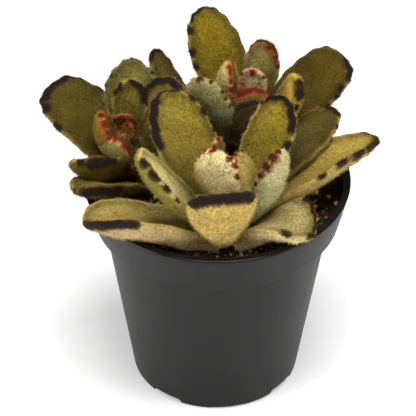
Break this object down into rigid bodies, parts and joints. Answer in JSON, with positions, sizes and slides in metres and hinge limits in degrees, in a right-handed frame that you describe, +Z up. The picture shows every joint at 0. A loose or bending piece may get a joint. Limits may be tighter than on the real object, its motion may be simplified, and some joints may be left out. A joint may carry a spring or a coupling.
{
  "type": "potted panda plant",
  "caption": "Young felted succulent with thick, dark-edged olive leaves in rosettes, rooted in soil in a round black nursery pot.",
  "frame": {"origin": "middle of the flat underside of the pot", "axes": "+Z up along the pot's axis, -Y towards the side that the picture shows in front, +X to its right"},
  "size_m": [0.1327, 0.109, 0.1385],
  "materials": {
    "pot": "satin moulded plastic, glossier on the lip",
    "soil": "moist peat and bark crumbs with pale grit",
    "stem": "felted",
    "leaf": "dense short felt, dark brown spots along the margins"
  },
  "bodies": {
    "root": {"pot": "pot", "soil": "soil", "front_stem": "stem", "left_stem": "stem", "back_stem": "stem", "front_leaf_1": "leaf", "front_leaf_2": "leaf", "front_leaf_3": "leaf", "front_leaf_4": "leaf", "front_leaf_5": "leaf", "front_leaf_6": "leaf", "front_leaf_7": "leaf", "front_leaf_8": "leaf", "front_leaf_9": "leaf", "front_leaf_10": "leaf", "front_leaf_11": "leaf", "front_leaf_12": "leaf", "left_leaf_1": "leaf", "left_leaf_2": "leaf", "left_leaf_3": "leaf", "left_leaf_4": "leaf", "left_leaf_5": "leaf", "left_leaf_6": "leaf", "left_leaf_7": "leaf", "left_leaf_8": "leaf", "left_leaf_9": "leaf", "left_leaf_10": "leaf", "back_leaf_1": "leaf", "back_leaf_2": "leaf", "back_leaf_3": "leaf", "back_leaf_4": "leaf", "back_leaf_5": "leaf", "back_leaf_6": "leaf", "back_leaf_7": "leaf", "back_leaf_8": "leaf", "back_leaf_9": "leaf", "back_leaf_10": "leaf", "back_leaf_11": "leaf", "back_leaf_12": "leaf", "back_leaf_13": "leaf"}
  },
  "joints": []
}
